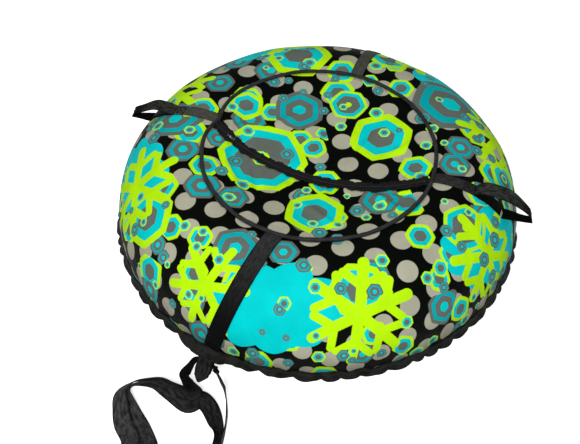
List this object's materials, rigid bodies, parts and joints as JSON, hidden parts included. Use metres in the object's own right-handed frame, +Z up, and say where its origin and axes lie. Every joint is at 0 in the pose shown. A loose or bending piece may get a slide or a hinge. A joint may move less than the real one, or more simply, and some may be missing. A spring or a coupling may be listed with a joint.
{
  "type": "snow tube",
  "caption": "Round inflatable snow tube in a printed fabric cover, with a zip seat, side carry handles and a tow loop with a webbing leash.",
  "frame": {"origin": "centre of the flat underside, on the ground", "axes": "+Z up; the tow strap runs towards -Y; the carry handles lie along X"},
  "size_m": [0.9774, 1.2584, 0.3308],
  "materials": {
    "printed_fabric": "black woven polyester with a lime, cyan and grey print",
    "black_fabric": "coated, slightly shiny",
    "grey_webbing": "ribbed charcoal webbing",
    "black_webbing": "ribbed black webbing",
    "zip_plastic": "black moulded plastic",
    "zip_metal": "dark plated metal",
    "tube_rubber": "matt black rubber",
    "valve_brass": "plain brass",
    "valve_plastic": "black moulded cap"
  },
  "bodies": {
    "cover": {"top_cover": "printed_fabric", "bottom_cover": "black_fabric", "rim_binding": "black_webbing", "seat_front_panel": "printed_fabric", "seat_rear_panel": "printed_fabric", "seat_piping": "grey_webbing", "zipper_tape_front": "black_webbing", "zipper_tape_rear": "black_webbing", "zipper_teeth_front": "zip_plastic", "zipper_teeth_rear": "zip_plastic", "zipper_stop_left": "zip_plastic", "zipper_stop_right": "zip_plastic", "tow_strap": "grey_webbing", "rear_strap": "grey_webbing", "left_strap": "grey_webbing", "right_strap": "grey_webbing", "left_box_stitch": "grey_webbing", "right_box_stitch": "grey_webbing", "inner_tube": "tube_rubber", "valve_base": "tube_rubber", "valve_stem": "valve_brass", "valve_core": "valve_brass"},
    "zip_slider": {"zipper_slider": "zip_metal"},
    "zip_pull": {"zipper_pull": "zip_metal"},
    "left_handle": {"left_handle": "grey_webbing"},
    "right_handle": {"right_handle": "grey_webbing"},
    "tow_loop": {"tow_loop": "black_webbing", "tow_leash": "black_webbing"},
    "valve_cap": {"valve_cap": "valve_plastic"}
  },
  "joints": [
    {"name": "zip_travel", "type": "hinge", "parent": "cover", "child": "zip_slider", "pos_m": [0, 0.39941, 0.50824], "axis": [0, -0.4226, 0.9063], "range_deg": [0, 46.13]},
    {"name": "pull_flip", "type": "hinge", "parent": "zip_slider", "child": "zip_pull", "pos_m": [-0.20087, -0.0303, 0.3136], "axis": [0.3918, 0.8339, 0.3888], "range_deg": [0, 150]},
    {"name": "right_handle_lift", "type": "hinge", "parent": "cover", "child": "right_handle", "pos_m": [0.36325, 0.01269, 0.31534], "axis": [0.0349, -0.9994, 0], "range_deg": [0, 90]},
    {"name": "left_handle_lift", "type": "hinge", "parent": "cover", "child": "left_handle", "pos_m": [-0.36325, 0.01269, 0.31534], "axis": [0.0349, 0.9994, 0], "range_deg": [0, 90]},
    {"name": "tow_loop_lift", "type": "hinge", "parent": "cover", "child": "tow_loop", "pos_m": [-0.07607, -0.4803, 0.11551], "axis": [-0.9877, 0.1564, 0], "range_deg": [0, 60]},
    {"name": "valve_cap_turn", "type": "hinge", "parent": "cover", "child": "valve_cap", "pos_m": [-0.01038, 0.10536, 0.15], "axis": [0.098, -0.9952, 0], "continuous": true}
  ]
}
